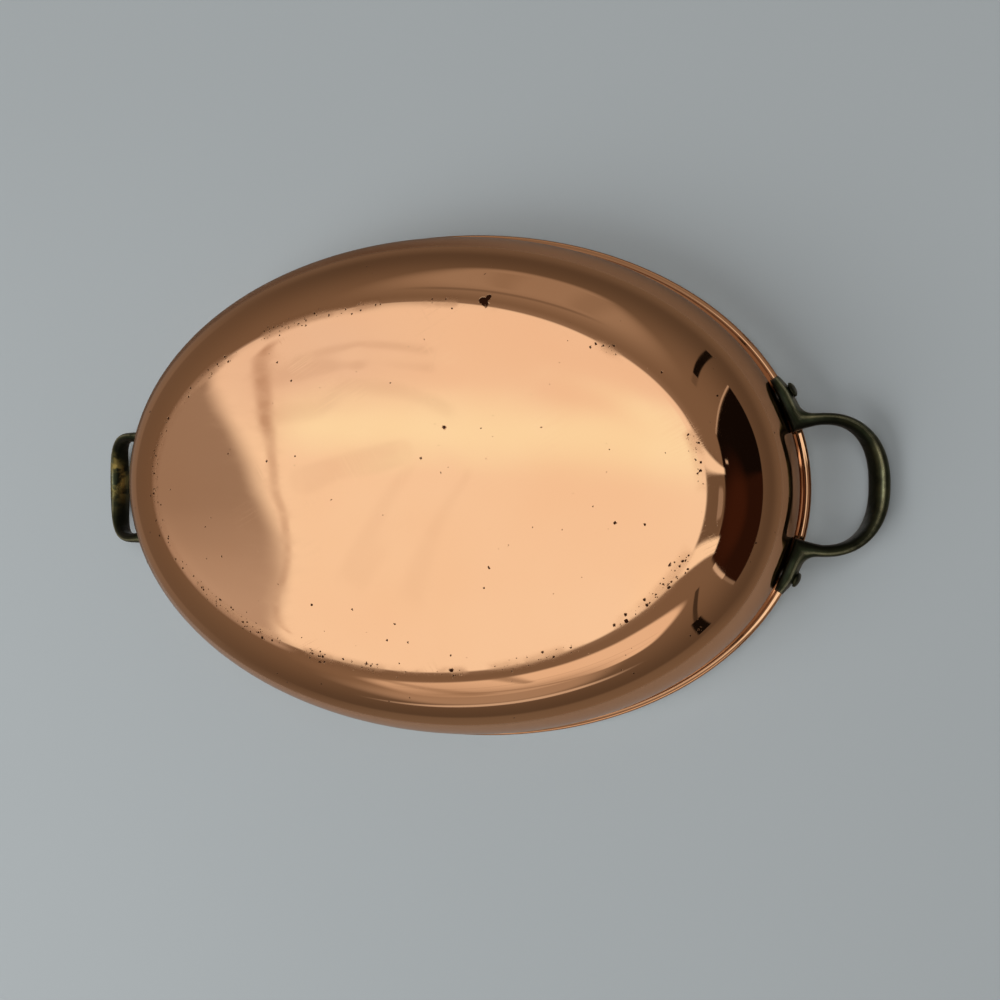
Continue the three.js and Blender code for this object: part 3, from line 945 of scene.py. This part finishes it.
rubbed = sums("MAXIMUM", shoulder, bare)
roughness = sums("MULTIPLY_ADD", blotches, 0.22, 0.22)
roughness = sums("MULTIPLY_ADD", rubbed, -0.08, roughness)
lumps = clouds(place, 380, detail=3, seed=1.9)
sand = clouds(place, 2400, detail=1, seed=3.9)
relief = plus(times(lumps, LUMP_HEIGHT), times(sand, SAND_HEIGHT))
complete(shader, tint, roughness, relief)
print("nodes in the cast brass:", len(tree.nodes))

# %% Make both handles
for name, node, facing in (("right_handle", "handle_right", 1), ("left_handle", "handle_left", -1)):
    rings = [ring * np.array([facing, facing, 1]) for ring in casting_rings]
    handle = skin(name, rings)
    handle.data.materials.append(cast_brass)
    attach(handle, "root")
    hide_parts(node)
    volume = round(volume_of(handle.data) / MM ** 3)
    print(name, len(handle.data.polygons), "faces,", volume, "cubic mm")

# %% [markdown]
# ## The rivets
#
# A solid rivet goes through each ear, the copper and the lining. Outside it has a small domed head,
# and inside a wide flat one. All four are alike, so we make one by carrying its section round a
# circle, with the same tree as the shell, and then set it on four points with Geometry Nodes. Each
# point carries the direction square to the wall as an attribute.

# %% One rivet
SHANK_RADIUS = 2
HEAD_GAP = 0.3
OUTER_HEAD_RADIUS = 2.8
OUTER_HEAD_HEIGHT = 1.6
INNER_HEAD_RADIUS = 4.5
INNER_HEAD_HEIGHT = 1.6
INNER_HEAD_GAP = 0.55
HEAD_RIM = 0.4
DOME_STEPS = 10
RIVET_STEPS = 48

outer_seat = SEAT_GAP + EAR_THICKNESS + HEAD_GAP
inner_seat = -(sheet_thickness + INNER_HEAD_GAP)


def dome(radius, height, seat, facing):
    """The domed top of a head, from its edge to its middle."""
    points = []
    for i in range(DOME_STEPS + 1):
        turn = math.pi / 2 * i / DOME_STEPS
        bulge = HEAD_RIM + (height - HEAD_RIM) * math.sin(turn)
        points.append((0, radius * math.cos(turn) if i < DOME_STEPS else 0, seat + facing * bulge))
    return points


rivet_section = dome(INNER_HEAD_RADIUS, INNER_HEAD_HEIGHT, inner_seat, -1)[::-1] + [
    (0, INNER_HEAD_RADIUS, inner_seat), (0, SHANK_RADIUS, inner_seat),
    (0, SHANK_RADIUS, outer_seat), (0, OUTER_HEAD_RADIUS, outer_seat),
] + dome(OUTER_HEAD_RADIUS, OUTER_HEAD_HEIGHT, outer_seat, 1)
one_rivet = sweep_section("one_rivet", rivet_section, None, half_sizes=(1, 1), steps=RIVET_STEPS)
print("faces in one rivet:", len(one_rivet.data.polygons))

# %% Build the tree that sets the rivets
setting, given, result = new_tree("set_rivets", [
    ("Points", "NodeSocketGeometry"),
    ("Rivet", "NodeSocketObject"),
    ("Finish", "NodeSocketMaterial"),
])
square_to_wall = add_node(setting, "GeometryNodeInputNamedAttribute", {
    "Name": "square_to_wall"}, data_type="FLOAT_VECTOR").outputs[0]
turn_to_wall = feed("FunctionNodeAlignRotationToVector", {"Vector": square_to_wall}, axis="Z")[0]
rivet_shape = feed("GeometryNodeObjectInfo", {"Object": given["Rivet"]})["Geometry"]
places = feed("GeometryNodeMeshToPoints", {"Mesh": given["Points"]})[0]
copies = feed("GeometryNodeInstanceOnPoints", {
    "Points": places, "Instance": rivet_shape, "Rotation": turn_to_wall})[0]
end_tree(copies, given["Finish"], result)
print("nodes in the rivet tree:", len(setting.nodes))

# %% [markdown]
# ### Where the rivets go
#
# A rivet's axis leans with the wall: it is square to the oval in plan and dips by the wall's lean.
# Its outer head is dark like the handle, and its inner head was wiped over with the lining's tin.

# %% Set the four rivets
DARK_RIVET, BROWN_RIVET = (0.018, 0.020, 0.012), (0.060, 0.062, 0.034)
DARK_TINNED, PALE_TINNED = (0.46, 0.45, 0.42), (0.66, 0.65, 0.62)
RIVET_BUMPS = 0.00008

rivet_finish, tree, shader = new_finish("dark_rivet_brass", Metallic=0.85)
place, x, y, _ = object_place(tree)
blotches = clouds(place, 260, detail=4, seed=6.6)
tint = mix_colours(rise(blotches, 0.35, 0.65), DARK_RIVET, BROWN_RIVET)
wall_at_rivets = wall_out(EAR_HEIGHT)
outside_lining = distance_from_oval(
    x, y, BASE_HALF_LENGTH + wall_at_rivets, BASE_HALF_WIDTH + wall_at_rivets)
tin_tint = mix_colours(rise(blotches, 0.3, 0.7), DARK_TINNED, PALE_TINNED)
tint = mix_colours(rise(outside_lining, 0.0015, 0.0), tint, tin_tint)
roughness = plus(times(blotches, 0.25), 0.22)
relief = times(clouds(place, 900, detail=3, seed=1.1), RIVET_BUMPS)
complete(shader, tint, roughness, relief)

rivet_points, rivet_axes = [], []
for facing in (1, -1):
    for side in (1, -1):
        angle = angle_across(side * RIVET_SPREAD, seat_out)
        middle = oval_point(angle, wall_at_rivets) + UPWARDS * EAR_HEIGHT
        axis = wall_facing(angle) * math.cos(WALL_LEAN) - UPWARDS * math.sin(WALL_LEAN)
        rivet_points.append(middle * MM * np.array([facing, facing, 1]))
        rivet_axes.append(axis * np.array([facing, facing, 1]))
rivets = new_object("rivets", rivet_points)
axes = rivets.data.attributes.new("square_to_wall", "FLOAT_VECTOR", "POINT")
axes.data.foreach_set("vector", np.array(rivet_axes, np.float32).ravel())
run_tree(rivets, setting, {"Rivet": one_rivet, "Finish": rivet_finish})
bpy.data.objects.remove(one_rivet)
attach(rivets, "root")
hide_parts("rivet_right_back", "rivet_right_front", "rivet_left_back", "rivet_left_front")
print("rivets:", len(rivets.data.polygons), "faces")

# %% [markdown]
# ## The table and the floor
#
# The photograph looks up at a pan that lies upside down, so its table is a plane that touches the
# tops of the handles and faces down. Seen from above, the same pan stands on a floor at z = 0.
# Each plane is one-sided: a Backfacing switch lets the camera through from behind. The floor is
# there for the camera only, or the base would mirror nothing but the floor it lies on.
#
# The wall near the rim does mirror the table right beside it, in the pan's own shadow. So the table
# also shows in the metal, as a dim band round the rim's outline, with that shadow painted into its
# colour. Inside that outline it is clear, or the open dish would see a lid, and further out the
# world takes over. Light is painted into the band too: it is palest in front and on the right,
# where the table in the photograph gets the most light.

# %% The two planes
TABLE_UP = 0.0463
TABLE_HALF_SIZE = 4.0
TABLE_COLOUR = (0.366, 0.399, 0.414)
FLOOR_UP = -0.0003
FLOOR_HALF_SIZE = 60.0
FLOOR_COLOUR = (0.66, 0.67, 0.66)
# The mirrored band: the pan's painted shadow, and painted light on the right and in front
MIRRORED_SHADOW_TONE = (0.108, 0.080, 0.060)
MIRRORED_LIT_RIGHT = (0.182, 0.153, 0.129)
MIRRORED_LIT_FRONT = (0.235, 0.215, 0.200)
DARKEST_SHARE = 0.93
RIM_HALF_LENGTH, RIM_HALF_WIDTH = 150.2, 104.7


def one_sided(name, tone, band_in_metal):
    """A matt stage finish that only its front shows, to the camera and perhaps to the metal."""
    material, tree, shader = new_finish(name, Roughness=0.9, Specular_IOR_Level=0.2)
    place, x, y, _ = object_place(tree)
    uneven = clouds(place, 2.2, detail=4, seed=0.4)
    painted = mix_colours(uneven, [DARKEST_SHARE * part for part in tone], tone)
    rays = add_node(tree, "ShaderNodeLightPath").outputs
    seen = rays["Is Camera Ray"]
    if band_in_metal:
        outside = distance_from_oval(x, y, RIM_HALF_LENGTH, RIM_HALF_WIDTH)
        band = times(sums("GREATER_THAN", outside, 0.0), rise(outside, 0.110, 0.060))
        seen = plus(seen, times(rays["Is Glossy Ray"], band))
        # Painted shadow of the pan on the mirrored band, painted lighter to the right and in front
        mirrored_shadow_and_light = mix_colours(rise(x, -0.06, 0.06), MIRRORED_SHADOW_TONE, MIRRORED_LIT_RIGHT)
        mirrored_shadow_and_light = mix_colours(rise(y, 0.015, 0.085), mirrored_shadow_and_light, MIRRORED_LIT_FRONT)
        painted = mix_colours(rays["Is Glossy Ray"], painted, mirrored_shadow_and_light)
    tree.links.new(painted, shader.inputs["Base Color"])
    front = minus(1.0, add_node(tree, "ShaderNodeNewGeometry").outputs["Backfacing"])
    clear = add_node(tree, "ShaderNodeBsdfTransparent").outputs[0]
    mixed = feed("ShaderNodeMixShader", {0: times(front, seen), 1: clear, 2: shader.outputs[0]})[0]
    tree.links.new(mixed, tree.nodes["Material Output"].inputs["Surface"])
    return material


def stage_plane(name, half_size, height, facing_up, material):
    signs = ((-1, -1), (1, -1), (1, 1), (-1, 1))
    corners = [(sign_x * half_size, sign_y * half_size, height) for sign_x, sign_y in signs]
    plane = new_object(name, corners, [(0, 1, 2, 3) if facing_up else (3, 2, 1, 0)])
    plane.data.materials.append(material)


stage_plane("table", TABLE_HALF_SIZE, TABLE_UP, False, one_sided("grey_table", TABLE_COLOUR, True))
stage_plane("floor", FLOOR_HALF_SIZE, FLOOR_UP, True, one_sided("pale_floor", FLOOR_COLOUR, False))
print("table at", TABLE_UP, "m, facing down, and floor at", FLOOR_UP, "m, facing up")

# %% [markdown]
# ## The room that the copper mirrors
#
# A polished pan shows its room, so the room has to be worth showing. We paint the world as if it
# were one flat sheet that hangs below the camera: a direction lands on the sheet where x and y,
# divided by how steeply it goes down, put it. Straight things in a room stay straight on such a
# sheet, and the pan's heel bends them into the arcs that we see. Three masks draw everything:
# a rounded patch, a strip and an edge.

# %% Masks on the sheet
world = bpy.data.worlds.new("room")
bpy.context.scene.world = world
world.use_nodes = True
tree = world.node_tree
background = tree.nodes["Background"]
looking = add_node(tree, "ShaderNodeTexCoord").outputs["Generated"]
look_x, look_y, look_z = feed("ShaderNodeSeparateXYZ", {0: looking})
steepness = sums("MAXIMUM", times(look_z, -1), 0.02)
sheet_x = sums("DIVIDE", look_x, steepness)
sheet_y = sums("DIVIDE", look_y, steepness)


def along_sheet(start, direction):
    """How far a sheet point lies from a start in one direction."""
    part_x = times(minus(sheet_x, start[0]), direction[0])
    part_y = times(minus(sheet_y, start[1]), direction[1])
    return plus(part_x, part_y)


def patch(centre, half_sizes, squareness=2.0, softness=0.3):
    """A rounded patch. Squareness 2 is an oval, and more is nearer a rectangle."""
    shares = []
    for axis, half in (((1, 0), half_sizes[0]), ((0, 1), half_sizes[1])):
        share = sums("DIVIDE", sums("ABSOLUTE", along_sheet(centre, axis)), half)
        shares.append(sums("POWER", share, squareness))
    reach = sums("POWER", plus(*shares), 1 / squareness)
    return rise(reach, 1 + softness, 1 - softness)


def strip(start, end, first_width, last_width, softness=0.3):
    """A straight strip between two places, which may widen on its way."""
    way = Vector(end) - Vector(start)
    length, way = way.length, way.normalized()
    walked = sums("DIVIDE", along_sheet(start, way), length)
    aside = sums("ABSOLUTE", along_sheet(start, (-way.y, way.x)))
    share = times(walked, 1, clamp=True)
    width = sums("MULTIPLY_ADD", share, last_width - first_width, first_width)
    across = rise(sums("DIVIDE", aside, sums("DIVIDE", width, 2)), 1 + softness, 1 - softness)
    fade = softness * first_width / length
    ends = times(rise(walked, -fade, fade), rise(walked, 1 + fade, 1 - fade))
    return times(across, ends)


def past_edge(place, direction, softness):
    """1 past a straight edge through a place, in the direction given, and 0 before it."""
    return rise(along_sheet(place, Vector(direction).normalized()), -softness, softness)


def both(*masks):
    """Where all of the masks are."""
    return reduce(times, masks)


def brown(value):
    """The room's plain brown, at a brightness."""
    return (1.12 * value, 0.88 * value, 0.68 * value)


print("masks ready")

# %% [markdown]
# ### The walls, the lamp and the doorway
#
# Painting it takes many nodes, and only the metal can show it. So these nodes answer glossy rays
# alone, and all other rays get a plain sky: dim below, for the pan's underside, pale above, and as
# grey at the horizon as the far floor, so that the two meet softly. It halves a render's time.
#
# The room is dim and brown. Below the pan hangs one large bright shade, in front of a pale ceiling
# edge, and its far side is cut off by a bent edge. Light from it falls on pale cloth on two sides.
# On the right, two bright rails lead to a dark doorway between two dark posts. Each row of the
# lists below is one shape: its mask, how strongly it covers, and its shade.

# %% Paint the walls and the cloths
def lay(tone, shapes):
    """Lays a list of shapes over what is there, in their order."""
    return reduce(lambda below, shape: shade(below, *shape), shapes, tone)


room = mix_colours(rise(look_z, 0.0, -0.95), brown(0.092), brown(0.185))
room = lay(room, (
    (rise(look_x, -0.55, -1.0), 0.8, brown(0.155)),
    # The glow round the lamp's shade
    (patch((-0.33, 0.025), (0.38, 0.27), 2.0, 0.45), 0.7, (0.34, 0.29, 0.25)),
    # Pale cloths in front, with their folds
    (patch((-0.16, 0.93), (0.54, 0.385), 4.0, 0.09), 0.95, (0.88, 0.79, 0.70)),
    (patch((-0.42, 1.55), (0.55, 0.60), 3.0, 0.35), 0.8, (0.46, 0.39, 0.33)),
    (patch((-0.45, 2.42), (0.85, 0.22), 2.5, 0.45), 0.8, (0.74, 0.69, 0.64)),
    (strip((-0.36, 0.50), (-0.26, 0.90), 0.05, 0.03, 0.8), 0.7, brown(0.22)),
    (strip((-0.50, 1.02), (0.10, 1.34), 0.05, 0.08, 0.8), 0.5, brown(0.22)),
    (strip((-0.62, 0.55), (-0.44, 1.2), 0.04, 0.12, 0.8), 0.5, brown(0.25)),
    (patch((-0.60, 0.95), (0.24, 0.42), 2.0, 0.7), 0.45, brown(0.30)),
    (strip((-0.65, 0.80), (0.30, 0.90), 0.030, 0.020, 0.9), 0.22, brown(0.30)),
    (strip((-0.60, 1.10), (0.35, 1.04), 0.035, 0.020, 0.9), 0.25, brown(0.30)),
    # A dimmer cloth behind, with its folds
    (patch((-0.22, -1.5), (0.52, 0.95), 3.0, 0.30), 0.9, (0.36, 0.30, 0.25)),
    (strip((-0.10, -0.75), (0.20, -1.9), 0.08, 0.25, 0.8), 0.4, brown(0.20)),
    (strip((-0.34, -0.80), (-0.42, -1.9), 0.06, 0.2, 0.9), 0.4, brown(0.22)),
    (strip((-0.55, -0.60), (-0.1, -0.64), 0.08, 0.06, 0.9), 0.6, brown(0.12)),
))
print("nodes in the world so far:", len(tree.nodes))

# %% Paint the lamp's shade
lamp_shade = patch((-0.43, 0.035), (0.41, 0.235), 2.6, 0.10)
room = lay(room, (
    (lamp_shade, 1.0, (1.00, 1.00, 0.95)),
    (both(lamp_shade, past_edge((-0.4, -0.085), (0, -1), 0.05)), 1.0, (0.94, 0.88, 0.82)),
    (patch((-0.65, -0.13), (0.13, 0.07), 2.0, 0.7), 0.8, (0.88, 0.86, 0.86)),
    (strip((-0.66, -0.055), (-0.13, -0.030), 0.05, 0.075, 0.95), 0.9, (1.06, 1.22, 1.10)),
))

FOLD_TONE = (0.50, 0.40, 0.34)
FOLD_SOFTNESS = 0.7
# Each fold has its places, its first and last width, and its strength. The first three are one
# long crease.
FOLDS = (
    (((-0.676, -0.146), (-0.688, -0.119), (-0.686, -0.088), (-0.678, -0.041)), 0.017, 0.014, 0.80),
    (((-0.678, -0.041), (-0.670, 0.022), (-0.661, 0.057), (-0.660, 0.100)), 0.014, 0.009, 0.55),
    (((-0.660, 0.100), (-0.672, 0.147), (-0.668, 0.175), (-0.648, 0.200)), 0.010, 0.008, 0.45),
    (((-0.680, -0.104), (-0.639, -0.112), (-0.586, -0.126), (-0.541, -0.129), (-0.473, -0.120)),
     0.020, 0.014, 0.24),
    (((-0.690, -0.066), (-0.612, -0.073), (-0.572, -0.092), (-0.509, -0.086), (-0.448, -0.065)),
     0.016, 0.012, 0.14),
    (((-0.638, 0.014), (-0.572, -0.008), (-0.508, -0.022)), 0.020, 0.012, 0.12),
    (((-0.50, -0.01), (-0.53, 0.06), (-0.575, 0.13)), 0.016, 0.030, 0.08),
    (((-0.43, 0.00), (-0.47, 0.07), (-0.49, 0.15)), 0.012, 0.030, 0.07),
)
for places, first_width, last_width, strength in FOLDS:
    widths = np.linspace(first_width, last_width, len(places)).tolist()
    for i in range(len(places) - 1):
        piece = strip(places[i], places[i + 1], widths[i], widths[i + 1], FOLD_SOFTNESS)
        room = shade(room, piece, strength, FOLD_TONE)

# The bent edge, as a curve across the sheet that turns a little sharper at its near end
curved = sums("MULTIPLY_ADD", sheet_y, 1.03, -0.43)
bent_edge = sums("MULTIPLY_ADD", sheet_y, curved, sheet_x)
near_end = sums("MAXIMUM", minus(sheet_y, 0.10), 0)
bent_edge = sums("MULTIPLY_ADD", near_end, 0.19, bent_edge)
far_side = both(rise(bent_edge, -0.682, -0.728), patch((-0.43, 0.035), (0.56, 0.42), 2.6, 0.2))
room = lay(room, (
    (far_side, 1.0, (0.34, 0.295, 0.265)),
    (both(far_side, past_edge((-0.4, 0.10), (0, 1), 0.07)), 0.75, (0.56, 0.51, 0.48)),
))
print("folds in the shade:", len(FOLDS))

# %% Paint the doorway, the posts and the rails
doorway = both(past_edge((0.40, 0), (1, 0), 0.015), patch((0, -0.15), (3.75, 2.55), 3.2, 0.04),
               past_edge((0.40, -0.27), (0.93, 1), 0.02), past_edge((0.50, 0.42), (0.74, -1), 0.02))
room = lay(room, (
    (doorway, 1.0, (0.006, 0.004, 0.003)),
    (both(doorway, past_edge((0.5, -0.03), (0.15, 1), 0.08)), 0.8, (0.026, 0.010, 0.006)),
    (both(doorway, patch((0.85, 0.18), (0.42, 0.34), 2.0, 0.6)), 0.8, (0.044, 0.015, 0.008)),
    # Bright edges of the doorway
    (strip((0.40, -0.275), (2.60, -2.38), 0.012, 0.045, 0.4), 0.8, (0.52, 0.47, 0.42)),
    (strip((0.53, 0.455), (1.10, 0.885), 0.030, 0.05, 0.4), 0.9, (0.66, 0.62, 0.57)),
    (strip((1.10, 0.885), (2.60, 2.02), 0.04, 0.08, 0.4), 0.6, (0.30, 0.27, 0.24)),
    # Two dark posts, each thin at first and then wide
    (strip((0.42, -0.62), (0.62, -0.88), 0.04, 0.05, 0.5), 0.6, brown(0.09)),
    (strip((0.60, -0.86), (6.0, -8.2), 0.05, 0.50, 0.2), 1.0, brown(0.006)),
    (strip((0.42, 0.57), (1.15, 1.68), 0.035, 0.07, 0.3), 0.85, brown(0.03)),
    (strip((1.15, 1.68), (6.2, 8.8), 0.15, 0.95, 0.2), 1.0, brown(0.006)),
    # The wall between the lamp and the doorway, two bright rails and a glint
    (patch((0.19, 0.06), (0.22, 0.17), 4.0, 0.15), 0.9, brown(0.135)),
    (patch((0.30, 0.065), (0.060, 0.065), 4.0, 0.2), 0.8, (0.36, 0.32, 0.29)),
    (strip((-0.14, -0.055), (0.42, -0.090), 0.085, 0.032, 0.4), 1.0, (0.97, 0.96, 0.90)),
    (strip((-0.24, 0.125), (0.42, 0.285), 0.075, 0.085, 0.3), 1.0, (1.02, 1.02, 0.95)),
    (strip((0.48, -0.15), (0.55, -0.160), 0.02, 0.02, 0.6), 0.8, (0.70, 0.66, 0.62)),
))
print("nodes in the world so far:", len(tree.nodes))

# %% Paint the horizon, and mix in the plain sky
DIM_SKY = (0.22, 0.21, 0.20)
HORIZON = (0.42, 0.42, 0.41)
PALE_SKY = (0.68, 0.68, 0.67)

room = lay(room, (
    (rise(look_z, -0.02, 0.28), 1.0, (0.155, 0.125, 0.098)),
    # A glow on the left and one in front
    (both(rise(look_z, -0.06, 0.03), rise(look_x, -0.75, -0.98)), 0.8, (0.23, 0.19, 0.155)),
    (both(rise(look_z, -0.04, 0.05), rise(look_y, 0.6, 1.0)), 0.7, (0.20, 0.165, 0.13)),
    (rise(look_z, 0.28, 0.75), 1.0, (0.78, 0.78, 0.77)),
))
tree.links.new(room, background.inputs["Color"])

plain = mix_colours(rise(look_z, -0.15, 0.0), DIM_SKY, HORIZON)
plain = mix_colours(rise(look_z, 0.0, 0.30), plain, PALE_SKY)
plain_light = feed("ShaderNodeBackground", {"Color": plain})[0]
in_metal = add_node(tree, "ShaderNodeLightPath").outputs["Is Glossy Ray"]
chosen = feed("ShaderNodeMixShader", {0: in_metal, 1: plain_light, 2: background.outputs[0]})[0]
tree.links.new(chosen, tree.nodes["World Output"].inputs["Surface"])
print("nodes in the world:", len(tree.nodes))

# %% [markdown]
# ## The lamps
#
# Broad area lamps give the soft studio light: two from below for the photograph, and two from above
# for the other views. The lower ones don't show in the metal, because the world's panels already
# stand for the room there.

# %% Place the lamps
# Name, place in metres, size in metres, power in watts, and whether the metal shows it
LAMPS = (
    ("room_light_left", (-1.1, 0.7, -1.2), 1.4, 26, False),
    ("room_light_below", (0.3, -0.2, -1.8), 1.6, 14, False),
    ("studio_key", (-2.2, -2.4, 3.2), 2.6, 95, True),
    ("studio_fill", (2.6, -1.2, 2.6), 2.4, 36, True),
)
for name, place, size, watts, in_metal in LAMPS:
    lamp_data = bpy.data.lights.new(name, "AREA")
    lamp_data.size = size
    lamp_data.energy = watts
    lamp = bpy.data.objects.new(name, lamp_data)
    bpy.context.scene.collection.objects.link(lamp)
    lamp.location = place
    lamp.rotation_euler = (-Vector(place)).to_track_quat("-Z", "Y").to_euler()
    lamp.visible_glossy = in_metal
    lamp.visible_camera = False
print("lamps:", len(LAMPS))
